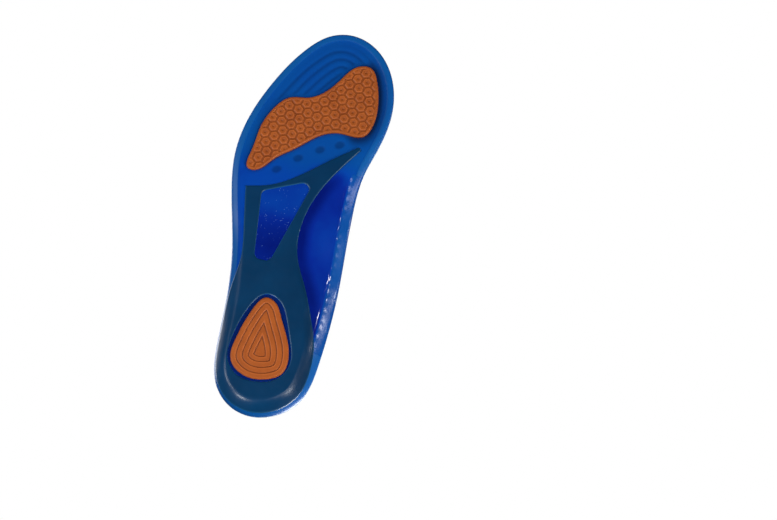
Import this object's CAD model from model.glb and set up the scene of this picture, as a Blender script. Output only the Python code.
"""The looks of a cushioned gel insole: gel body, fabric cover, firm shell, two pads and a small print.

Shapes are worked out in millimetres with y = 0 at the back of the heel, and placed in metres in the CAD
frame.
"""
import math
from types import SimpleNamespace

import bpy
import numpy as np
from mathutils import Matrix, Vector, kdtree
from mathutils.geometry import delaunay_2d_cdt


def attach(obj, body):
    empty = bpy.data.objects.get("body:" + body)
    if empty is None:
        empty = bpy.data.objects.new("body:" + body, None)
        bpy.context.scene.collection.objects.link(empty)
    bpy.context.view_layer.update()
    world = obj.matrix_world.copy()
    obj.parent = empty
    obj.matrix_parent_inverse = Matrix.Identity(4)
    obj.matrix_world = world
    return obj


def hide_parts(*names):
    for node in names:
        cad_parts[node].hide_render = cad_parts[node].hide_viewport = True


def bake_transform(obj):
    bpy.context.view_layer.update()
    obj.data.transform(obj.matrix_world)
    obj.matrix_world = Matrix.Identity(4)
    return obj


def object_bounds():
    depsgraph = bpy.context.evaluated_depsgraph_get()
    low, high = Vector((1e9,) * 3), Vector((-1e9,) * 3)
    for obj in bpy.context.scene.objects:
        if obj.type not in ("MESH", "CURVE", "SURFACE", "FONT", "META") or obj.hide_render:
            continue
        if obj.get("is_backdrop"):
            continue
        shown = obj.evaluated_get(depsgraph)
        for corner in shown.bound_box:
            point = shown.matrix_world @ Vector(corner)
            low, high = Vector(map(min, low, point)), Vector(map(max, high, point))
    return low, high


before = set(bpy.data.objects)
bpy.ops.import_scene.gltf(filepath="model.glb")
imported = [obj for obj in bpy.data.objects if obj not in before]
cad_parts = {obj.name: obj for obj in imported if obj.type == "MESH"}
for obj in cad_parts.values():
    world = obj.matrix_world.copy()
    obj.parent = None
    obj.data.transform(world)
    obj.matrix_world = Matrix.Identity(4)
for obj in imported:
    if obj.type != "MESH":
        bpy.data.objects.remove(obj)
CAD_LOW, CAD_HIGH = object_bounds()
MM = 0.001
HEEL_BACK = CAD_LOW.y / MM

# Outlines of the pieces, each a smooth curve through its points. The window is given by its corners.
INSOLE_OUTLINE = [
    (-3, 0), (12, 4), (24, 16), (30, 40), (31.5, 80), (37.6, 118), (45.4, 148), (49.4, 174), (46.8, 200),
    (36.1, 230), (18, 260), (5, 271.5), (-10, 275), (-26, 270), (-41.8, 253), (-49.2, 226), (-46.2, 200),
    (-40, 176), (-38.6, 140), (-40.4, 90), (-39.3, 42), (-32, 15), (-18, 3.5),
]
SHELL_SIDE = [
    (36.2, 152.5), (30.4, 123.7), (27.2, 100.5), (29.6, 80.2), (29.4, 55), (28, 34), (23.3, 17.6),
    (11.8, 5.8), (-4, 1.8), (-19, 6), (-31.8, 19), (-35.6, 36), (-34.6, 53), (-29, 70), (-19, 92.4),
    (-10, 110.6), (-7.4, 126.8), (-10, 147), (-20, 170.3), (-34.6, 193),
]
SHELL_FRONT = [(-33.0, 195.1), (-13.5, 179.9), (6, 164.2), (21, 156.1), (36.2, 152.5)]
WINDOW_CORNERS = [(24.6, 151), (-9, 165.2), (7.5, 103.5), (18.3, 103.5)]
WINDOW_RADIUS = 4.5
HEEL_OPENING = [
    (3, 80.8), (-5, 78.3), (-13, 66.8), (-19, 51.8), (-22.3, 36.8), (-16, 25.3), (-4, 21.1), (10, 22.8),
    (19, 32.8), (19.3, 47.8), (14, 67.8),
]
HEEL_PAD_OUTLINE = [
    (2.8, 78.4), (-3, 76.3), (-9.5, 66.8), (-16, 54.8), (-20.6, 40.8), (-19, 29.8), (-9, 23.6), (6, 23.4),
    (16.5, 31.8), (16.5, 47.8), (10.5, 68.8),
]
FOREFOOT_PAD_OUTLINE = [
    (37.2, 164.8), (38.2, 178), (36.2, 196.4), (30.5, 211), (20.9, 221), (9.2, 223.2), (-2, 230.4),
    (-10.2, 241.6), (-19.4, 252.4), (-27.5, 253.4), (-34.6, 243.8), (-38.8, 227.4), (-38.2, 210.6),
    (-34.6, 203.8), (-17.2, 202.2), (-3, 196.6), (10.2, 184.9), (22.4, 174.6), (34.4, 164.4),
]
MIDDLE_X = -3.0

# Heights above the surface the insole lies on, and widths of the walls, as (distance from the heel, value)
BED_HEIGHT = [(0, 8.5), (80, 8.2), (150, 5.8), (200, 5.0), (275, 4.6)]
INNER_RIM_HEIGHT = [(0, 16.0), (45, 16.5), (95, 21.0), (140, 14.0), (185, 6.4), (225, 5.2), (275, 5.0)]
OUTER_RIM_HEIGHT = [(0, 16.0), (45, 15.0), (95, 10.5), (140, 7.4), (185, 5.8), (275, 5.0)]
INNER_WALL_WIDTH = [(0, 15), (45, 17), (100, 36), (150, 28), (200, 8), (275, 8)]
OUTER_WALL_WIDTH = [(0, 15), (60, 15), (120, 13), (200, 8), (275, 8)]
INNER_FLANK_WIDTH = [(0, 9), (45, 11), (75, 18), (110, 31), (150, 24), (195, 7), (275, 6)]
OUTER_FLANK_WIDTH = [(0, 9), (60, 9.5), (130, 8), (275, 6)]

# How steeply the walls climb towards the rim: the power of their curve
WALL_CURVE = 2
FLANK_CURVE = 1.5

# Thicknesses and heights of the layers. The shell stands proud of the gel and is rooted in it.
RIM_THICKNESS = 3.2
GEL_UNDERSIDE = 1.6
LEAST_GEL = 0.4
COVER_THICKNESS = 1.0
LEAST_COVER = 0.1
PILE_HEIGHT = 0.035
FILM_THICKNESS = 0.3
LINING = COVER_THICKNESS + FILM_THICKNESS
SHELL_PROUD = 0.6
SHELL_ROOT = 1.4
PAD_BOTTOM = 0.0
FOREFOOT_PAD_TOP = 2.55
HEEL_PAD_TOP = 3.9

# How far the edges of each piece are rounded
GEL_ROUNDING = 1.3
GEL_TOP_ROUNDING = 0.5
FILM_ROUNDING = 0.1
COVER_ROUNDING = 0.8
COVER_BACK_ROUNDING = 0.15
SHELL_ROUNDING = 0.8
FOREFOOT_PAD_ROUNDING = 1.0
HEEL_PAD_ROUNDING = 1.1

# The pressed panel at the heel and the plain ring and dots printed in it
PANEL_CENTRE = (-3.0, 61.0)
PANEL_SIZE = (24.0, 54.0)
PANEL_CORNER = 3.0
PANEL_DEPTH = 0.4
PANEL_EDGE = 1.2
RING_Y = 50.0
RING_RADIUS = 7.0
RING_LINE = 1.2
RING_STEP = 0.4
DOT_COUNT = 4
DOT_RADIUS = 1.3
DOT_PITCH = 6.0
DOT_STEP = 0.3
PRINT_SUNK = 0.1
PRINT_PROUD = 0.14
PRINT_ROWS = (0.15,)
PRINT_SPACING = 0.4

# Relief in the pads: hexagonal cells under the forefoot, contour lines under the heel. The places of a cell's
# groove and ring are distances from its middle, and those of a contour line are distances from the edge.
CELL_PITCH = 7.0
CELL_ANGLE = math.radians(11.5)
CELL_START = (0.0, 210.7)
CELL_GROOVE = 3.2
CELL_GROOVE_WIDTH = 0.3
CELL_GROOVE_DEPTH = 0.42
CELL_RING = 2.3
CELL_RING_WIDTH = 0.45
CELL_RING_HEIGHT = 0.14
CELL_DIMPLE_RADIUS = 1.0
CELL_DIMPLE_DEPTH = 0.4
CELLS_SUNK = 0.16
CELL_GROOVE_SHADE = 0.5
CELL_RING_SHINE = 0.45
FOREFOOT_PAD_BORDER = (1.7, 0.5)
HEEL_CONTOURS = (4.0, 8.0, 12.0, 15.5)
CONTOUR_WIDTH = 0.45
CONTOUR_DEPTH = 0.4
CONTOUR_STEP = 0.12
CONTOUR_STEP_WIDTH = 0.4
CREST_INSET = 0.75
CREST_HEIGHT = 0.06
CONTOUR_SHADE = 0.85
CREST_SHINE = 0.5

# Rows of mesh points inside each edge, and the spacing of the points further in
BODY_ROWS = (0.1, 0.25, 0.5, 0.9, 1.4, 2.0)
BODY_SPACING = 0.95
SHELL_ROWS = (0.15, 0.4, 0.8, 1.3)
SHELL_SPACING = 1.1
PAD_ROWS = (0.12, 0.3, 0.55, 0.85, 1.2)
FOREFOOT_PAD_SPACING = 0.36
HEEL_PAD_SPACING = 0.32

# Where each zone of the gel starts and how wide the change is, along the foot, to the side or from an edge
FOREFOOT_START = (160, 25)
ARCH_START = (40, 25)
ARCH_SIDE = (0, 8)
MEDIAL_SIDE = (18, 12)
TOES_START = (205, 18)
TOES_OFF_PAD = (1.5, 3)
TOES_OFF_RIM = (7, 3)
LEDGE = (4.6, 0.5)
FLANGE = (6.2, 1.8)
RIM_BAND = (3.8, 1.4)
FLANGE_BAND = (6.0, 1.6)

# Relief of the gel's underside
LEDGE_DEPTH = 0.45
FLANGE_DEPTH = 0.9
RIB_PITCH = 6.5
RIB_SHARE = 0.16
RIB_PLACE = 7
RIB_WIDTH = 3
RIPPLE_PITCH = 5.6
RIPPLE_SLANT = 0.05
RIPPLE_DEPTH = 0.4
MOAT_WIDTH = 1.2
MOAT_MEDIAL_WIDTH = 3.6
MOAT_UNDER_PAD = 2
MOAT_DEPTH = 0.6
DIMPLES = [(18.5, 168.6), (6.1, 179.4), (-7.1, 188.4), (-19.4, 194.4)]
DIMPLE_SIZE = (4.2, 3.2)
DIMPLE_TURN = math.radians(-30)
DIMPLE_STEEPNESS = 1.3
DIMPLE_DEPTH = 0.4

# The gel's blue tone, from 0, palest, to 1, deepest. The arch is lighter away from the shell, and the window
# is deeper towards the heel.
RIM_TONE = 0.1
FLANGE_TONE = 0.32
FOREFOOT_TONE = 0.36
REAR_TONE = 0.62
WINDOW_TONE = 0.72
WINDOW_DEEPER = 0.2
WINDOW_REAR = (-150, 40)
ARCH_TONE = 1.0
ARCH_LIGHTER = 0.22
ARCH_OFF_SHELL = (2, 8)
ARCH_LIMIT = 0.3
OPENING_TONE = 1.0
TONE_RANGE = (0.02, 1.0)

# How dark the gel's hollows are
RIPPLE_SHADE = 0.42
DIMPLE_SHADE = 0.5
MOAT_SHADE = 0.45
MOAT_MEDIAL_SHADE = 0.55
OPENING_SHADE = 0.6

# What shows on the fabric: the pads, the shell and the heel's floor below it, and its lit sides at the heel
PAD_SHADOW = 0.55
PAD_SHADOW_EDGE = (-3, 6)
SHELL_SHADOW = 0.22
SHELL_SHADOW_EDGE = (-4, 8)
HEEL_FLOOR_SHADOW = 0.4
HEEL_FLOOR_END = (70, 60)
HEEL_FLOOR_SIDE = (9, 7)
DARKEST_SHADOW = 0.75
HEEL_SIDE_LIGHT = 0.5
HEEL_SIDE_END = (60, 90)
HEEL_SIDE_WIDTH = (5, 5)
EDGE_LIGHT = 0.15
EDGE_LIGHT_WIDTH = 3

# The lighter lip along the shell's edges
LIP_SHARE = 0.35
LIP_WIDTH = 0.7

# How finely outlines are sampled
CURVE_SAMPLES = 40
ARC_SAMPLES = 10
EDGE_STEP = 0.15
OUTLINE_STEP = 0.8
SHELL_STEP = 0.5
PAD_STEP = 0.4

# The mesh inside an outline is an even triangular grid, whose rows are this share of the spacing apart. The
# rows of points that follow an edge keep most of their inset from every edge, and the grid stays off them.
ROW_SHARE = 0.866
ROW_CLEARANCE = 0.93
GRID_CLEARANCE = 0.6
MERGE_DISTANCE = 1e-5
SEED = 7


# ---------------------------------------------------------------- outlines

def smooth_curve(points, closed, step):
    """Points about step apart on the cubic spline through the given ones."""
    p = np.array(points, float)
    count = len(p)
    ends = np.vstack([p, p[:1]]) if closed else p
    h = np.linalg.norm(np.diff(ends, axis=0), axis=1)
    matrix = np.eye(count)
    right = np.zeros((count, 2))
    for i in range(count):
        if not closed and i in (0, count - 1):
            continue
        before, after = h[i - 1], h[i % len(h)]
        matrix[i] = 0
        matrix[i, i - 1] += before
        matrix[i, i] += 2 * (before + after)
        matrix[i, (i + 1) % count] += after
        right[i] = 6 * ((ends[i + 1] - p[i]) / after - (p[i] - p[i - 1]) / before)
    bend = np.linalg.solve(matrix, right)
    line = []
    for i, length in enumerate(h):
        a, b = p[i], p[(i + 1) % count]
        bend_a, bend_b = bend[i], bend[(i + 1) % count]
        t = np.linspace(0, 1, CURVE_SAMPLES, endpoint=False)[:, None]
        curve = a * (1 - t) + b * t
        curve += ((1 - t) ** 3 - (1 - t)) * bend_a * length**2 / 6 + (t**3 - t) * bend_b * length**2 / 6
        line.append(curve)
    line = np.vstack(line + [p[:1] if closed else p[-1:]])
    return even(line, step, closed)


def even(line, step, closed=True):
    """The line's points spread evenly, about step apart."""
    lengths = np.r_[0, np.cumsum(np.linalg.norm(np.diff(line, axis=0), axis=1))]
    count = max(int(lengths[-1] / step), 3)
    places = np.linspace(0, lengths[-1], count + 1)
    if closed:
        places = places[:-1]
    return np.column_stack([np.interp(places, lengths, line[:, k]) for k in (0, 1)])


def rounded_corners(corners, radius, step):
    """A closed outline of straight sides joined by arcs."""
    line = []
    for k, corner in enumerate(corners):
        corner = np.array(corner, float)
        back = np.array(corners[k - 1], float) - corner
        ahead = np.array(corners[(k + 1) % len(corners)], float) - corner
        back /= np.linalg.norm(back)
        ahead /= np.linalg.norm(ahead)
        half = math.acos(float(back @ ahead)) / 2
        middle = back + ahead
        centre = corner + middle / np.linalg.norm(middle) * radius / math.sin(half)
        start = corner + back * radius / math.tan(half) - centre
        finish = corner + ahead * radius / math.tan(half) - centre
        for share in np.linspace(0, 1, ARC_SAMPLES):
            spoke = start * (1 - share) + finish * share
            line.append(centre + spoke / np.linalg.norm(spoke) * radius)
    line.append(line[0])
    return even(np.array(line), step)


def inside(loop, points):
    """True for each point inside the closed loop."""
    x, y = points[:, 0], points[:, 1]
    result = np.zeros(len(points), bool)
    for (x0, y0), (x1, y1) in zip(loop, np.roll(loop, -1, axis=0)):
        if y0 == y1:
            continue
        crossing = ((y0 > y) != (y1 > y)) & (x < (x1 - x0) * (y - y0) / (y1 - y0) + x0)
        result ^= crossing
    return result


class Edge:
    """Closed loops that points can be measured from."""

    def __init__(self, *loops):
        self.points = np.vstack([even(np.vstack([loop, loop[:1]]), EDGE_STEP) for loop in loops])
        self.tree = kdtree.KDTree(len(self.points))
        for k, (x, y) in enumerate(self.points):
            self.tree.insert((x, y, 0), k)
        self.tree.balance()

    def nearest(self, points):
        """The distance of each point from the edge, and the edge's nearest point."""
        found = [self.tree.find((x, y, 0)) for x, y in points]
        places = np.array([f[1] for f in found])
        return np.array([f[2] for f in found]), self.points[places]


# ---------------------------------------------------------------- heights

def smooth_step(share):
    share = np.clip(share, 0, 1)
    return share * share * (3 - 2 * share)


def rise(value, start, width):
    """0 up to start and 1 from start + width on, turning smoothly between."""
    return smooth_step((value - start) / width)


def along(stations, y):
    """The value at distance y from the heel, turning smoothly from each station to the next."""
    value = np.full(np.shape(y), float(stations[0][1]))
    for (y0, value0), (y1, value1) in zip(stations, stations[1:]):
        value += (value1 - value0) * rise(y, y0, y1 - y0)
    return value


OUTLINE = smooth_curve(INSOLE_OUTLINE, True, OUTLINE_STEP)
OUTLINE_EDGE = Edge(OUTLINE)


def by_side(inner, outer, edge_points):
    """The value at each point of the edge, from the inner stations on the arch's side, or the outer ones."""
    inner_value = along(inner, edge_points[:, 1])
    outer_value = along(outer, edge_points[:, 1])
    return np.where(edge_points[:, 0] < MIDDLE_X, inner_value, outer_value)


def top_height(points):
    distance, edge = OUTLINE_EDGE.nearest(points)
    rim = by_side(INNER_RIM_HEIGHT, OUTER_RIM_HEIGHT, edge)
    width = by_side(INNER_WALL_WIDTH, OUTER_WALL_WIDTH, edge)
    climb = np.clip(1 - distance / width, 0, None)
    return along(BED_HEIGHT, points[:, 1]) + (rim - along(BED_HEIGHT, edge[:, 1])) * climb**WALL_CURVE


def underside_height(points):
    distance, edge = OUTLINE_EDGE.nearest(points)
    rim = by_side(INNER_RIM_HEIGHT, OUTER_RIM_HEIGHT, edge) - RIM_THICKNESS
    width = by_side(INNER_FLANK_WIDTH, OUTER_FLANK_WIDTH, edge)
    climb = np.clip(1 - distance / width, 0, None)
    return GEL_UNDERSIDE + (rim - GEL_UNDERSIDE) * climb**FLANK_CURVE


# ---------------------------------------------------------------- meshes

def triangulate(loops, insets, spacing):
    """A flat triangle mesh inside the first loop and outside the others, with rows of points by the edges."""
    points = []
    edges = []
    for loop in loops:
        start = len(points)
        points += [tuple(p) for p in loop]
        edges += [(start + k, start + (k + 1) % len(loop)) for k in range(len(loop))]
    edge = Edge(*loops)

    def within(candidates):
        keep = inside(loops[0], candidates)
        for hole in loops[1:]:
            keep &= ~inside(hole, candidates)
        return candidates[keep]

    for inset in insets:
        for loop in loops:
            way = np.roll(loop, -1, axis=0) - np.roll(loop, 1, axis=0)
            way /= np.linalg.norm(way, axis=1)[:, None] + 1e-9
            normal = np.column_stack([-way[:, 1], way[:, 0]])
            for sign in (1, -1):
                moved = within(loop + sign * inset * normal)
                if len(moved):
                    distance = edge.nearest(moved)[0]
                    points += [tuple(p) for p in moved[distance > ROW_CLEARANCE * inset]]
    low, high = loops[0].min(0), loops[0].max(0)
    columns = np.arange(low[0], high[0], spacing)
    rows = np.arange(low[1], high[1], spacing * ROW_SHARE)
    grid_x, grid_y = np.meshgrid(columns, rows)
    grid_x[1::2] += spacing / 2
    grid = within(np.column_stack([grid_x.ravel(), grid_y.ravel()]))
    grid = grid[edge.nearest(grid)[0] > insets[-1] + GRID_CLEARANCE * spacing]
    points += [tuple(p) for p in grid]
    vertices, _, faces, _, _, _ = delaunay_2d_cdt([Vector(p) for p in points], edges, [], 0, MERGE_DISTANCE)
    flat = np.array([(v.x, v.y) for v in vertices])
    faces = np.array([f for f in faces if len(f) == 3])
    middles = flat[faces].mean(1)
    keep = inside(loops[0], middles)
    for hole in loops[1:]:
        keep &= ~inside(hole, middles)
    return flat, faces[keep], edge


def closed_mesh(name, flat, faces, low, high, material, attributes=None):
    """A closed piece between the heights low and high over a flat triangle mesh."""
    used = np.unique(faces)
    index = np.full(len(flat), -1)
    index[used] = np.arange(len(used))
    flat, low, high = flat[used], low[used], high[used]
    faces = index[faces]
    a, b, c = flat[faces[:, 0]], flat[faces[:, 1]], flat[faces[:, 2]]
    turn = (b[:, 0] - a[:, 0]) * (c[:, 1] - a[:, 1]) - (b[:, 1] - a[:, 1]) * (c[:, 0] - a[:, 0])
    faces[turn < 0] = faces[turn < 0][:, ::-1]
    sides = {}
    for face in faces:
        for k in range(3):
            one, two = int(face[k]), int(face[(k + 1) % 3])
            if (two, one) in sides:
                del sides[two, one]
            else:
                sides[one, two] = True
    count = len(flat)
    top = np.column_stack([flat, high])
    bottom = np.column_stack([flat, low])
    corners = np.vstack([top, bottom])
    corners[:, 1] += HEEL_BACK
    polygons = [tuple(f) for f in faces] + [tuple(f[::-1] + count) for f in faces]
    polygons += [(one, one + count, two + count, two) for one, two in sides]
    mesh = bpy.data.meshes.new(name)
    mesh.from_pydata((corners * MM).tolist(), [], [tuple(int(i) for i in p) for p in polygons])
    mesh.validate()
    for key, values in (attributes or {}).items():
        layer = mesh.attributes.new(key, "FLOAT", "POINT")
        both = np.concatenate([values[used], values[used]])
        layer.data.foreach_set("value", both.astype(np.float32))
    mesh.polygons.foreach_set("use_smooth", np.ones(len(mesh.polygons), bool))
    mesh.materials.append(material)
    piece = bpy.data.objects.new(name, mesh)
    bpy.context.scene.collection.objects.link(piece)
    return piece


def rounded_drop(distance, radius):
    """How far a face falls back at this distance from an edge of that radius."""
    share = np.clip(1 - distance / radius, 0, 1)
    return radius * (1 - np.sqrt(1 - share**2))


def ridge(distance, width):
    """1 in the middle of a line, 0 at its sides, with a round section."""
    return np.clip(1 - (distance / width) ** 2, 0, 1)


def hex_field(points, pitch, angle):
    """Each point's offset from the middle of its hexagonal cell, and how far out towards a side it lies."""
    row = pitch * np.array([math.cos(angle), math.sin(angle)])
    slant = pitch * np.array([math.cos(angle + math.pi / 3), math.sin(angle + math.pi / 3)])
    places = points @ np.linalg.inv(np.array([row, slant]))
    base = np.floor(places)
    best = np.full(len(points), np.inf)
    offset = np.zeros_like(points)
    for i in (0, 1):
        for j in (0, 1):
            centre = (base + (i, j)) @ np.array([row, slant])
            away = points - centre
            reach = np.linalg.norm(away, axis=1)
            nearer = reach < best
            best[nearer] = reach[nearer]
            offset[nearer] = away[nearer]
    side = np.zeros(len(points))
    for k in range(3):
        way = angle + k * math.pi / 3
        side = np.maximum(side, np.abs(offset @ np.array([math.cos(way), math.sin(way)])))
    return offset, side


# ---------------------------------------------------------------- materials

class Shader:
    """A material with one Principled shader and short ways to add nodes in front of it."""

    def __init__(self, name, roughness, specular=0.5, **settings):
        self.material = bpy.data.materials.new(name)
        self.material.use_nodes = True
        self.nodes = self.material.node_tree.nodes
        self.links = self.material.node_tree.links
        self.surface = self.nodes["Principled BSDF"]
        self.surface.inputs["Roughness"].default_value = roughness
        self.surface.inputs["Specular IOR Level"].default_value = specular
        for key, value in settings.items():
            self.surface.inputs[key.replace("_", " ")].default_value = value
        self.place = self.nodes.new("ShaderNodeTexCoord").outputs["Object"]

    def attribute(self, key):
        node = self.nodes.new("ShaderNodeAttribute")
        node.attribute_name = key
        return node.outputs["Fac"]

    def noise(self, scale, detail=3.0, stretch=(1, 1, 1)):
        mapping = self.nodes.new("ShaderNodeMapping")
        mapping.inputs["Scale"].default_value = stretch
        self.links.new(self.place, mapping.inputs["Vector"])
        node = self.nodes.new("ShaderNodeTexNoise")
        node.inputs["Scale"].default_value = scale
        node.inputs["Detail"].default_value = detail
        self.links.new(mapping.outputs["Vector"], node.inputs["Vector"])
        return node.outputs["Fac"]

    def cells(self, scale):
        node = self.nodes.new("ShaderNodeTexVoronoi")
        node.inputs["Scale"].default_value = scale
        self.links.new(self.place, node.inputs["Vector"])
        return node.outputs["Distance"]

    def ramp(self, source, stops):
        """A colour for each value of source, from (value, colour) stops."""
        node = self.nodes.new("ShaderNodeValToRGB")
        elements = node.color_ramp.elements
        while len(elements) < len(stops):
            elements.new(0.5)
        for element, (value, colour) in zip(elements, stops):
            element.position = value
            element.color = (*colour, 1) if hasattr(colour, "__len__") else (colour, colour, colour, 1)
        self.links.new(source, node.inputs["Fac"])
        return node.outputs["Color"]

    def math(self, operation, one, two):
        node = self.nodes.new("ShaderNodeMath")
        node.operation = operation
        for socket, value in zip(node.inputs, (one, two)):
            if isinstance(value, (int, float)):
                socket.default_value = value
            else:
                self.links.new(value, socket)
        return node.outputs["Value"]

    def mix(self, share, one, two, blend="MIX"):
        node = self.nodes.new("ShaderNodeMix")
        node.data_type = "RGBA"
        node.blend_type = blend
        pairs = ((node.inputs[0], share), (node.inputs[6], one), (node.inputs[7], two))
        for socket, value in pairs:
            if isinstance(value, tuple):
                socket.default_value = (*value, 1)
            elif isinstance(value, (int, float)):
                socket.default_value = value
            else:
                self.links.new(value, socket)
        return node.outputs[2]

    def colour(self, source):
        self.links.new(source, self.surface.inputs["Base Color"])

    def roughness(self, source):
        self.links.new(source, self.surface.inputs["Roughness"])

    def bump(self, height, distance, strength=1.0):
        node = self.nodes.new("ShaderNodeBump")
        node.inputs["Distance"].default_value = distance
        node.inputs["Strength"].default_value = strength
        self.links.new(height, node.inputs["Height"])
        self.links.new(node.outputs["Normal"], self.surface.inputs["Normal"])


def gel_material():
    """Blue gel: pale and satin at the rim, deep blue and glossy in the arch, with bubbles in the window."""
    gel = Shader("blue gel", 0.1, 0.4, Coat_Weight=0.06, Coat_Roughness=0.05)
    cloud = gel.ramp(gel.noise(28, 4), [(0.3, 0.0), (0.7, 0.16)])
    tone = gel.math("ADD", gel.attribute("tone"), gel.math("SUBTRACT", cloud, 0.08))
    body = gel.ramp(tone, [
        (0.0, (0.001, 0.105, 0.37)),
        (0.35, (0.001, 0.07, 0.335)),
        (0.62, (0.001, 0.055, 0.38)),
        (0.8, (0.001, 0.02, 0.28)),
        (1.0, (0.0, 0.007, 0.16)),
    ])
    sparkle = gel.ramp(gel.cells(700), [(0.08, 1.0), (0.16, 0.0)])
    patch = gel.ramp(gel.noise(160, 2), [(0.5, 0.0), (0.62, 1.0)])
    share = gel.math("MULTIPLY", gel.math("MULTIPLY", sparkle, patch), gel.attribute("window"))
    shaded = gel.mix(gel.attribute("shade"), body, (0.001, 0.019, 0.095))
    gel.colour(gel.mix(gel.math("MULTIPLY", share, 0.75), shaded, (0.25, 0.5, 0.9)))
    gel.roughness(gel.ramp(gel.attribute("tone"), [(0.24, 0.36), (0.42, 0.11)]))
    gel.bump(gel.noise(60, 2), 0.0006, 0.25)
    return gel.material


def shell_material():
    """Firm dark teal rubber with a satin face and a slightly lighter lip."""
    shell = Shader("teal shell", 0.32, 0.26)
    cloud = shell.ramp(shell.noise(40, 4), [
        (0.3, (0.0005, 0.022, 0.066)),
        (0.7, (0.0008, 0.029, 0.084)),
    ])
    shell.colour(shell.mix(shell.attribute("lip"), cloud, (0.012, 0.11, 0.24)))
    shell.roughness(shell.ramp(shell.noise(220, 3), [(0.3, 0.29), (0.7, 0.35)]))
    shell.bump(shell.noise(900, 3), 0.00005, 0.4)
    return shell.material


def pad_material(name, light, dark):
    """Soft orange rubber, darker down in its grooves and paler on worn edges."""
    pad = Shader(name, 0.5, 0.22)
    cloud = pad.ramp(pad.noise(90, 5), [(0.3, dark), (0.7, light)])
    groove = tuple(c * 0.3 for c in dark)
    ridge_colour = tuple(min(c * 1.35 + 0.01, 1) for c in light)
    cut = pad.mix(pad.attribute("groove"), cloud, groove)
    pad.colour(pad.mix(pad.attribute("ridge"), cut, ridge_colour))
    pad.roughness(pad.ramp(pad.noise(300, 3), [(0.3, 0.42), (0.7, 0.58)]))
    pad.bump(pad.noise(1400, 3), 0.00006, 0.5)
    return pad.material


def fabric_material():
    """Brushed blue-grey velour with a fine heather grain. What lies under it shows through faintly."""
    fabric = Shader("brushed velour", 0.9, 0.15, Sheen_Weight=0.35, Sheen_Roughness=0.45)
    grain = fabric.noise(1500, 4, (1, 0.55, 1))
    heather = fabric.ramp(grain, [
        (0.32, (0.1, 0.17, 0.28)),
        (0.5, (0.165, 0.265, 0.41)),
        (0.7, (0.27, 0.4, 0.56)),
    ])
    cloud = fabric.ramp(fabric.noise(22, 4), [(0.3, 0.9), (0.7, 1.08)])
    base = fabric.mix(1.0, heather, cloud, "MULTIPLY")
    under = fabric.mix(fabric.attribute("under"), base, (0.15, 0.22, 0.28))
    fabric.colour(fabric.mix(fabric.attribute("rolled"), under, (0.2, 0.4, 0.62)))
    fabric.bump(fabric.noise(1300, 5, (1, 0.6, 1)), 0.00035, 0.7)
    return fabric.material


def plain_material(name, low, high, scale, roughness):
    """A plain surface with slight clouding."""
    plain = Shader(name, roughness, 0.3)
    plain.colour(plain.ramp(plain.noise(scale, 3), [(0.3, low), (0.7, high)]))
    return plain.material


# ---------------------------------------------------------------- pieces

FOREFOOT_PAD = smooth_curve(FOREFOOT_PAD_OUTLINE, True, PAD_STEP)
HEEL_PAD = smooth_curve(HEEL_PAD_OUTLINE, True, PAD_STEP)
OPENING = smooth_curve(HEEL_OPENING, True, SHELL_STEP)
WINDOW = rounded_corners(WINDOW_CORNERS, WINDOW_RADIUS, SHELL_STEP)
SHELL_LINE = np.vstack([
    smooth_curve(SHELL_SIDE, False, SHELL_STEP),
    smooth_curve(SHELL_FRONT, False, SHELL_STEP)[:-1],
])
FOREFOOT_PAD_EDGE = Edge(FOREFOOT_PAD)
SHELL_EDGE = Edge(SHELL_LINE)


def outside_distance(edge, loop, points):
    """The distance from the loop, negative inside it."""
    distance = edge.nearest(points)[0]
    return np.where(inside(loop, points), -distance, distance)


def panel_share(points):
    """1 in the pressed panel, 0 outside it, with a soft edge."""
    half = np.array(PANEL_SIZE) / 2 - PANEL_CORNER
    away = np.abs(points - np.array(PANEL_CENTRE)) - half
    outside = np.linalg.norm(np.clip(away, 0, None), axis=1) + np.minimum(away.max(1), 0) - PANEL_CORNER
    return 1 - rise(outside, -PANEL_EDGE / 2, PANEL_EDGE)


def bends(piece):
    """The piece bends at the ball of the foot, with everything that is bonded to it."""
    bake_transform(piece)


def dimples(points):
    """1 in the middle of each oval dimple behind the forefoot pad, 0 outside them."""
    pit = np.zeros(len(points))
    for centre in DIMPLES:
        x, y = (points - np.array(centre)).T
        across = x * math.cos(DIMPLE_TURN) + y * math.sin(DIMPLE_TURN)
        lengthwise = y * math.cos(DIMPLE_TURN) - x * math.sin(DIMPLE_TURN)
        oval = 1 - (across / DIMPLE_SIZE[0]) ** 2 - (lengthwise / DIMPLE_SIZE[1]) ** 2
        pit = np.maximum(pit, smooth_step(DIMPLE_STEEPNESS * oval))
    return pit


def gel_zones(points, distance):
    """How far each point belongs to each feature of the gel's underside, from 0 to 1."""
    x, y = points.T
    pad = outside_distance(FOREFOOT_PAD_EDGE, FOREFOOT_PAD, points)
    forefoot = rise(y, *FOREFOOT_START)
    medial = rise(-x, *MEDIAL_SIDE)
    moat_width = MOAT_WIDTH + MOAT_MEDIAL_WIDTH * medial
    return SimpleNamespace(
        forefoot=forefoot,
        medial=medial,
        arch=rise(-x, *ARCH_SIDE) * rise(y, *ARCH_START) * (1 - forefoot),
        toes=rise(y, *TOES_START) * rise(pad, *TOES_OFF_PAD) * rise(distance, *TOES_OFF_RIM),
        wave=0.5 + 0.5 * np.sin((distance + RIPPLE_SLANT * x) * 2 * math.pi / RIPPLE_PITCH),
        moat=np.exp(-(np.clip(pad, 0, None) / moat_width) ** 2) * (pad > -MOAT_UNDER_PAD),
        pit=dimples(points),
    )


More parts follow.
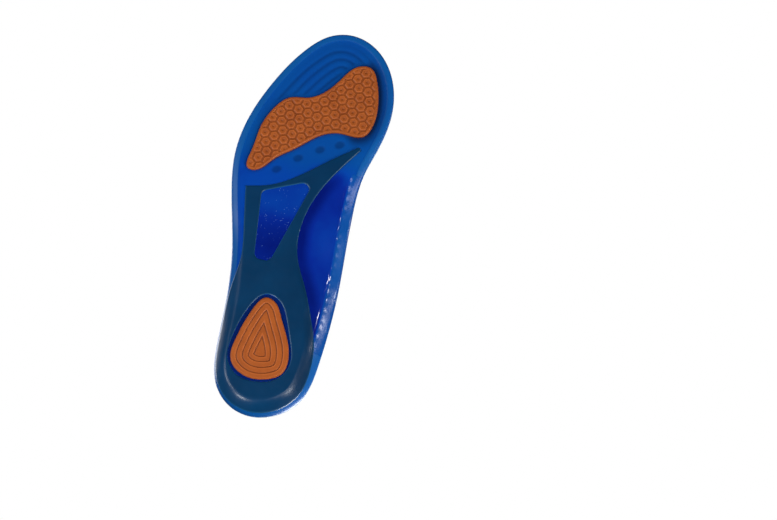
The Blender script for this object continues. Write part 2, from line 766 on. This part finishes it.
def gel_set_back(points, distance, zone):
    """How far the gel's underside is set back by its relief."""
    back = rounded_drop(distance, GEL_ROUNDING)
    # a ledge inside the rim, all round the forefoot
    back += zone.forefoot * LEDGE_DEPTH * rise(distance, *LEDGE)
    # a wider flange along the arch, faintly ribbed
    ribs = np.sin(points[:, 1] * 2 * math.pi / RIB_PITCH)
    rib = 1 + RIB_SHARE * ribs * ridge(distance - RIB_PLACE, RIB_WIDTH)
    back += zone.arch * FLANGE_DEPTH * rib * (1 - rise(distance, *FLANGE))
    # long shallow ripples in front of the pad
    back += zone.toes * RIPPLE_DEPTH * zone.wave**2
    # a moat round the pad, deepest on the medial side
    back += MOAT_DEPTH * zone.moat * (0.5 + 0.5 * zone.medial)
    return back + DIMPLE_DEPTH * zone.pit


def gel_tone(points, distance, zone):
    """The blue tone of the gel: pale at the rim, deep in the arch, the window and the heel opening."""
    shell = outside_distance(SHELL_EDGE, SHELL_LINE, points)
    in_arch = zone.arch > ARCH_LIMIT
    tone = REAR_TONE * (1 - zone.forefoot) + FOREFOOT_TONE * zone.forefoot
    tone = tone * (1 - zone.arch) + zone.arch * (ARCH_TONE - ARCH_LIGHTER * rise(shell, *ARCH_OFF_SHELL))
    band = np.where(in_arch, 1 - rise(distance, *FLANGE_BAND), 1 - rise(distance, *RIM_BAND))
    tone = tone * (1 - band) + band * np.where(in_arch, FLANGE_TONE, RIM_TONE)
    tone = np.where(inside(OPENING, points), OPENING_TONE, tone)
    window = WINDOW_TONE + WINDOW_DEEPER * rise(-points[:, 1], *WINDOW_REAR)
    tone = np.where(inside(WINDOW, points), window, tone)
    return np.clip(tone, *TONE_RANGE)


def gel_shade(points, zone):
    """How dark the gel is in its hollows."""
    shade = RIPPLE_SHADE * zone.toes * zone.wave**3 + DIMPLE_SHADE * zone.pit
    shade += zone.moat * (MOAT_SHADE + MOAT_MEDIAL_SHADE * zone.medial)
    shade = np.maximum(shade, OPENING_SHADE * inside(OPENING, points))
    return np.clip(shade, 0, 1)


def make_gel(flat, faces, distance, top):
    zone = gel_zones(flat, distance)
    low = underside_height(flat) + gel_set_back(flat, distance, zone)
    high = top - LINING - rounded_drop(distance, GEL_TOP_ROUNDING)
    low = np.minimum(low, high - LEAST_GEL)
    marks = {
        "tone": gel_tone(flat, distance, zone),
        "window": inside(WINDOW, flat).astype(float),
        "shade": gel_shade(flat, zone),
    }
    gel = closed_mesh("gel_body", flat, faces, low, high, gel_material(), marks)
    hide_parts("rear_gel", "front_gel")
    bends(gel)
    return gel


def cover_marks(flat, distance):
    """What shows through the fabric from below, and how much its rolled-up sides catch the light."""
    pad = outside_distance(FOREFOOT_PAD_EDGE, FOREFOOT_PAD, flat)
    shell = outside_distance(SHELL_EDGE, SHELL_LINE, flat)
    shadow = PAD_SHADOW * (1 - rise(pad, *PAD_SHADOW_EDGE))
    shadow += SHELL_SHADOW * (1 - rise(shell, *SHELL_SHADOW_EDGE))
    heel_floor = (1 - rise(flat[:, 1], *HEEL_FLOOR_END)) * rise(distance, *HEEL_FLOOR_SIDE)
    under = np.clip(shadow + HEEL_FLOOR_SHADOW * heel_floor, 0, DARKEST_SHADOW)
    heel_side = (1 - rise(flat[:, 1], *HEEL_SIDE_END)) * (1 - rise(distance, *HEEL_SIDE_WIDTH))
    rolled = HEEL_SIDE_LIGHT * heel_side + EDGE_LIGHT * (1 - rise(distance, 0, EDGE_LIGHT_WIDTH))
    return {"under": under, "rolled": rolled}


def make_cover(flat, faces, distance, top, rng):
    """The fabric is bonded flat on the gel, so it follows it and only its pile stands up."""
    pile = rng.normal(0, PILE_HEIGHT, len(flat))
    high = top - PANEL_DEPTH * panel_share(flat) - rounded_drop(distance, COVER_ROUNDING) + pile
    low = top - COVER_THICKNESS + rounded_drop(distance, COVER_BACK_ROUNDING)
    high = np.maximum(high, low + LEAST_COVER)
    marks = cover_marks(flat, distance)
    cover = closed_mesh("top_cover", flat, faces, low, high, fabric_material(), marks)
    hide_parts("rear_cover", "front_cover")
    bends(cover)
    return cover


def make_film(flat, faces, distance, top):
    """The film lies between the fabric and the gel, its edge drawn in a little."""
    material = plain_material("bonding film", (0.45, 0.6, 0.75), (0.55, 0.7, 0.82), scale=60, roughness=0.25)
    edge = rounded_drop(distance, FILM_ROUNDING)
    low = top - LINING + edge
    high = top - COVER_THICKNESS - edge
    film = closed_mesh("bonding_film", flat, faces, low, high, material)
    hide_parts("rear_film", "front_film")
    bends(film)
    return film


def make_shell():
    flat, faces, edge = triangulate([SHELL_LINE, WINDOW, OPENING], SHELL_ROWS, SHELL_SPACING)
    distance = edge.nearest(flat)[0]
    base = underside_height(flat)
    low = base - SHELL_PROUD + rounded_drop(distance, SHELL_ROUNDING)
    high = base + SHELL_ROOT
    lip = LIP_SHARE * (1 - rise(distance, 0, LIP_WIDTH))
    shell = closed_mesh("support_shell_piece", flat, faces, low, high, shell_material(), {"lip": lip})
    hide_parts("support_shell")
    bends(shell)
    return shell


def make_forefoot_pad():
    """Each cell has a groove round it, a raised ring inside and a dimple in its middle."""
    flat, faces, edge = triangulate([FOREFOOT_PAD], PAD_ROWS, FOREFOOT_PAD_SPACING)
    distance = edge.nearest(flat)[0]
    offset, side = hex_field(flat - np.array(CELL_START), CELL_PITCH, CELL_ANGLE)
    field = rise(distance, *FOREFOOT_PAD_BORDER)
    groove = field * ridge(side - CELL_GROOVE, CELL_GROOVE_WIDTH)
    ring = field * ridge(side - CELL_RING, CELL_RING_WIDTH)
    dimple = field * ridge(np.linalg.norm(offset, axis=1), CELL_DIMPLE_RADIUS)
    low = PAD_BOTTOM + rounded_drop(distance, FOREFOOT_PAD_ROUNDING) + CELLS_SUNK * field
    low += CELL_GROOVE_DEPTH * groove - CELL_RING_HEIGHT * ring + CELL_DIMPLE_DEPTH * dimple
    high = np.full(len(flat), FOREFOOT_PAD_TOP)
    material = pad_material("forefoot pad rubber", (0.396, 0.095, 0.0155), (0.312, 0.069, 0.012))
    dark = np.clip(CELL_GROOVE_SHADE * groove + CELL_GROOVE_SHADE * dimple, 0, 1)
    marks = {"groove": dark, "ridge": CELL_RING_SHINE * ring}
    pad = closed_mesh("forefoot_pad_piece", flat, faces, low, high, material, marks)
    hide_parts("forefoot_pad")
    bends(pad)


def make_heel_pad():
    """Each contour line is a groove with a low crest outside it, and the pad steps back inside it."""
    flat, faces, edge = triangulate([HEEL_PAD], PAD_ROWS, HEEL_PAD_SPACING)
    distance = edge.nearest(flat)[0]
    groove = np.zeros(len(flat))
    crest = np.zeros(len(flat))
    level = np.zeros(len(flat))
    for inset in HEEL_CONTOURS:
        groove = np.maximum(groove, ridge(distance - inset, CONTOUR_WIDTH))
        crest = np.maximum(crest, ridge(distance - inset + CREST_INSET, CONTOUR_WIDTH))
        level += CONTOUR_STEP * rise(distance, inset, CONTOUR_STEP_WIDTH)
    low = PAD_BOTTOM + rounded_drop(distance, HEEL_PAD_ROUNDING)
    low += CONTOUR_DEPTH * groove + level - CREST_HEIGHT * crest
    high = np.full(len(flat), HEEL_PAD_TOP)
    material = pad_material("heel pad rubber", (0.42, 0.1, 0.016), (0.342, 0.077, 0.0125))
    marks = {"groove": CONTOUR_SHADE * groove, "ridge": CREST_SHINE * crest}
    pad = closed_mesh("heel_pad_piece", flat, faces, low, high, material, marks)
    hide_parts("heel_pad")
    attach(pad, "rearfoot")


def circle(centre, radius, step):
    turns = np.linspace(0, 2 * math.pi, max(int(2 * math.pi * radius / step), 16), endpoint=False)
    return np.array(centre) + radius * np.column_stack([np.cos(turns), np.sin(turns)])


def make_print():
    """A plain ring and four dots, printed in the pressed panel."""
    middle = np.array((PANEL_CENTRE[0], RING_Y))
    marks = [[circle(middle, RING_RADIUS, RING_STEP), circle(middle, RING_RADIUS - RING_LINE, RING_STEP)]]
    for k in range(DOT_COUNT):
        centre = middle + (0, RING_RADIUS + DOT_PITCH * (k + 1) - DOT_RADIUS)
        marks.append([circle(centre, DOT_RADIUS, DOT_STEP)])
    ink = plain_material("grey print", (0.5, 0.51, 0.53), (0.6, 0.61, 0.63), scale=900, roughness=0.6)
    for k, loops in enumerate(marks):
        flat, faces, _ = triangulate(loops, PRINT_ROWS, PRINT_SPACING)
        top = top_height(flat) - PANEL_DEPTH
        mark = closed_mesh(f"heel_print_{k}", flat, faces, top - PRINT_SUNK, top + PRINT_PROUD, ink)
        if k == 0:
            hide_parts("heel_print")
        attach(mark, "rearfoot")


# ---------------------------------------------------------------- stage

# The floor and the backdrop are in metres, except the floor's small drop below the pads. At the horizon the
# backdrop is as bright as the far floor, and from the fade's height up it is white.
FLOOR_RADIUS = 5.9
FLOOR_DROP = 0.3
FLOOR_COLOUR = 0.22
FLOOR_GLOW = 0.78
BACKDROP_RADIUS = 6.0
HORIZON_GLOW = 0.79
FADE_HEIGHT = 2.0
ROOM_COLOUR = (0.95, 0.98, 1.0)
ROOM_LIGHT = 0.05
LIT_POINT = (0, 0, 0.005)
SHELL_LIGHT = "heel light from below"

# Name, place and size in metres, and power of each light
LIGHTS = [
    ("key from below", (0.9, -0.3, -0.9), 0.7, 12.0),
    ("fill from below", (-0.9, -0.5, -1.1), 1.0, 11.0),
    (SHELL_LIGHT, (0.5, -0.9, -0.5), 0.3, 9.0),
    ("heel side light from below", (-0.9, -0.5, -0.4), 0.3, 6.0),
    ("low arch light", (-1.2, 0.36, -0.1), 0.12, 1.6),
    ("key from above", (-0.6, -0.5, 1.0), 0.6, 19.0),
    ("fill from above", (0.8, 0.3, 0.9), 0.9, 8.0),
]


def empty_material(name):
    """A material with nothing but its output."""
    material = bpy.data.materials.new(name)
    material.use_nodes = True
    nodes = material.node_tree.nodes
    nodes.clear()
    output = nodes.new("ShaderNodeOutputMaterial")
    return material, nodes, material.node_tree.links, output.inputs["Surface"]


def only_seen_directly(thing):
    thing.visible_diffuse = False
    thing.visible_glossy = False
    thing.visible_transmission = False
    thing.visible_shadow = False


def make_floor():
    """A pale floor that can be seen from above only, so that the underside can be looked at too."""
    place = (0, 0, -FLOOR_DROP * MM)
    bpy.ops.mesh.primitive_circle_add(vertices=96, radius=FLOOR_RADIUS, fill_type="NGON", location=place)
    floor = bpy.context.object
    floor.name = "floor"
    material, nodes, links, surface = empty_material("floor")
    geometry = nodes.new("ShaderNodeNewGeometry")
    pale = nodes.new("ShaderNodeBsdfDiffuse")
    pale.inputs["Color"].default_value = (FLOOR_COLOUR, FLOOR_COLOUR, FLOOR_COLOUR, 1)
    glow = nodes.new("ShaderNodeEmission")
    glow.inputs["Strength"].default_value = FLOOR_GLOW
    both = nodes.new("ShaderNodeAddShader")
    clear = nodes.new("ShaderNodeBsdfTransparent")
    chosen = nodes.new("ShaderNodeMixShader")
    links.new(pale.outputs[0], both.inputs[0])
    links.new(glow.outputs[0], both.inputs[1])
    links.new(geometry.outputs["Backfacing"], chosen.inputs[0])
    links.new(both.outputs[0], chosen.inputs[1])
    links.new(clear.outputs[0], chosen.inputs[2])
    links.new(chosen.outputs[0], surface)
    floor.data.materials.append(material)
    only_seen_directly(floor)
    return floor


def make_backdrop():
    """A white dome far round everything, slightly darker low down, where it meets the far floor."""
    bpy.ops.mesh.primitive_uv_sphere_add(segments=48, ring_count=24, radius=BACKDROP_RADIUS)
    backdrop = bpy.context.object
    backdrop.name = "backdrop"
    material, nodes, links, surface = empty_material("backdrop")
    place = nodes.new("ShaderNodeTexCoord")
    axes = nodes.new("ShaderNodeSeparateXYZ")
    fade = nodes.new("ShaderNodeMapRange")
    fade.inputs["From Max"].default_value = FADE_HEIGHT
    fade.inputs["To Min"].default_value = HORIZON_GLOW
    glow = nodes.new("ShaderNodeEmission")
    links.new(place.outputs["Object"], axes.inputs[0])
    links.new(axes.outputs["Z"], fade.inputs["Value"])
    links.new(fade.outputs["Result"], glow.inputs["Strength"])
    links.new(glow.outputs[0], surface)
    backdrop.data.materials.append(material)
    only_seen_directly(backdrop)
    return backdrop


def make_light(name, place, size, power):
    data = bpy.data.lights.new(name, "AREA")
    data.shape = "DISK"
    data.size = size
    data.energy = power
    light = bpy.data.objects.new(name, data)
    bpy.context.scene.collection.objects.link(light)
    light.location = place
    light.rotation_euler = (Vector(LIT_POINT) - Vector(place)).to_track_quat("-Z", "Y").to_euler()
    return light


def shine_only_on(light, piece):
    receivers = bpy.data.collections.new(f"lit by {light.name}")
    receivers.objects.link(piece)
    light.light_linking.receiver_collection = receivers


def make_lights(shell):
    """One light falls on the shell only, because the gel would mirror it in white patches."""
    for name, place, size, power in LIGHTS:
        light = make_light(name, place, size, power)
        if name == SHELL_LIGHT:
            shine_only_on(light, shell)
    world = bpy.data.worlds.new("soft room")
    world.use_nodes = True
    background = world.node_tree.nodes["Background"]
    background.inputs["Color"].default_value = (*ROOM_COLOUR, 1)
    background.inputs["Strength"].default_value = ROOM_LIGHT
    bpy.context.scene.world = world


# The camera's angles are in degrees, and its shifts and the width of its picture in metres
CAMERA_LENS = 100.0
CAMERA_SENSOR = 36.0
PICTURE_WIDTH = 0.526
TILT_TO_HEEL = 17.0
TILT_TO_ARCH = 6.0
TURN_IN_PICTURE = 13.3
ASIDE = -0.0645
UP = 0.0267


def make_camera():
    """The camera looks up at the underside, a little from behind the heel and from the arch's side."""
    back = Vector((
        -math.sin(math.radians(TILT_TO_ARCH)),
        -math.sin(math.radians(TILT_TO_HEEL)),
        -math.cos(math.radians(TILT_TO_HEEL)),
    )).normalized()
    toes = (Vector((0, 1, 0)) - back * back.y).normalized()
    turn = Matrix.Rotation(math.radians(TURN_IN_PICTURE), 3, back)
    up = turn @ toes
    right = up.cross(back)
    data = bpy.data.cameras.new("camera")
    data.lens = CAMERA_LENS
    data.sensor_width = CAMERA_SENSOR
    camera = bpy.data.objects.new("camera", data)
    bpy.context.scene.collection.objects.link(camera)
    low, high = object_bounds()
    middle = (low + high) / 2
    distance = PICTURE_WIDTH * CAMERA_LENS / CAMERA_SENSOR
    camera.matrix_world = Matrix((
        (right.x, up.x, back.x, 0),
        (right.y, up.y, back.y, 0),
        (right.z, up.z, back.z, 0),
        (0, 0, 0, 1),
    ))
    camera.location = middle + back * distance - right * ASIDE - up * UP
    bpy.context.scene.camera = camera


def main():
    rng = np.random.RandomState(SEED)
    flat, faces, edge = triangulate([OUTLINE], BODY_ROWS, BODY_SPACING)
    distance = edge.nearest(flat)[0]
    top = top_height(flat)
    gel = make_gel(flat, faces, distance, top)
    film = make_film(flat, faces, distance, top)
    cover = make_cover(flat, faces, distance, top, rng)
    shell = make_shell()
    make_forefoot_pad()
    make_heel_pad()
    make_print()
    make_floor()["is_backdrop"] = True
    make_backdrop()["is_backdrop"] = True
    make_lights(shell)
    make_camera()
    bpy.context.scene.view_settings.view_transform = "Standard"


main()
